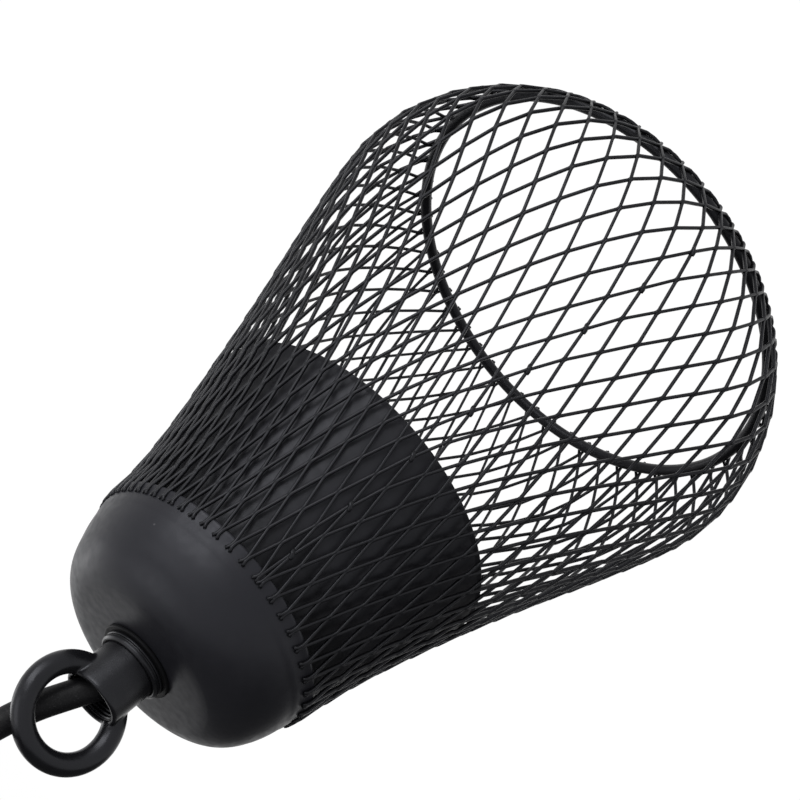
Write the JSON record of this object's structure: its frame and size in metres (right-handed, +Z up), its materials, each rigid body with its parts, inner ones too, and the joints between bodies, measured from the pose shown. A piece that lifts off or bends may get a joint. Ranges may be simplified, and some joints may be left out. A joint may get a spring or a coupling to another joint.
{
  "type": "caged pendant lamp guard",
  "caption": "Flared basket of expanded metal on a spun cap, round wire hoop at its mouth, cone cup and screw lampholder inside, hanging loop and flex to a ceiling fitting.",
  "frame": {"origin": "the inside of the crown of the hanging loop, where a hook carries the lamp", "axes": "+Z up along the lamp's axis, from the open mouth to the loop; the loop lies in the XZ plane; the seam of the basket is on the -Y side"},
  "size_m": [0.1438, 0.1438, 0.3349],
  "materials": {
    "black_casting": "satin black on a casting",
    "washer_black": "dark washer",
    "zinc_steel": "zinc plated steel",
    "black_powder": "satin black powder coat",
    "mesh_black": "satin black powder coat on expanded metal",
    "cup_black": "smooth satin black",
    "holder_plastic": "moulded black plastic",
    "white_ceramic": "glazed ceramic",
    "contact_brass": "plain brass",
    "flex_black": "round black flex",
    "core_insulation": "core insulation"
  },
  "bodies": {
    "root": {"loop_coupler": "black_casting", "lock_collar": "black_casting", "cap_washer": "washer_black", "threaded_nipple": "zinc_steel", "spun_cap": "black_powder", "inner_washer": "zinc_steel", "inner_lock_nut": "zinc_steel", "inner_cup": "cup_black", "holder_dome": "holder_plastic", "holder_sleeve": "holder_plastic", "shade_ring": "holder_plastic", "contact_block": "white_ceramic", "screw_shell": "contact_brass", "centre_contact": "contact_brass", "terminal_screws": "contact_brass", "mouth_hoop": "black_powder", "mesh_cage": "mesh_black", "flex": "flex_black", "flex_cores": "core_insulation", "ceiling_rose": "black_powder", "cord_grip": "holder_plastic", "cord_grip_nut": "holder_plastic", "ceiling_strap": "zinc_steel"}
  },
  "joints": []
}
